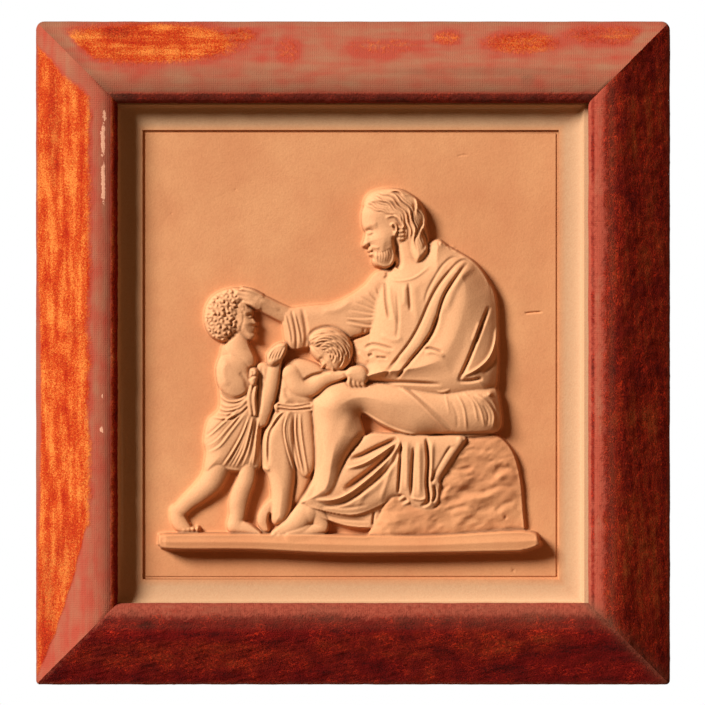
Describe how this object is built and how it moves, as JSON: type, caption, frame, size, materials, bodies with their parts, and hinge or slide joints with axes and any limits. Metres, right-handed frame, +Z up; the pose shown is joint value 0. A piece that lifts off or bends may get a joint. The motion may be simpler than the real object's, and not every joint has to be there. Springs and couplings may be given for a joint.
{
  "type": "framed relief plaque",
  "caption": "Square terracotta relief plaque of a seated bearded figure blessing two children, in a velvet-covered wooden frame to hang on a wall.",
  "frame": {"origin": "centre of the back, in the plane that lies against the wall", "axes": "+Y into the wall, +Z up, so the relief faces -Y and +X is to the viewer's right"},
  "size_m": [0.3422, 0.0289, 0.3578],
  "materials": {
    "terracotta": "matt, unglazed, moulded relief, light scratches and small pits",
    "velvet": "orange-red velvet, worn to a pinkish ground along the crest, corners and edges",
    "frame_wood": "plain unpainted softwood under the velvet",
    "board_wood": "plain brown board, aged"
  },
  "bodies": {
    "root": {"terracotta_plaque": "terracotta", "back_board": "board_wood", "frame_rail_bottom": "frame_wood", "velvet_bottom": "velvet", "frame_rail_right": "frame_wood", "velvet_right": "velvet", "frame_rail_top": "frame_wood", "velvet_top": "velvet", "frame_rail_left": "frame_wood", "velvet_left": "velvet"}
  },
  "joints": []
}
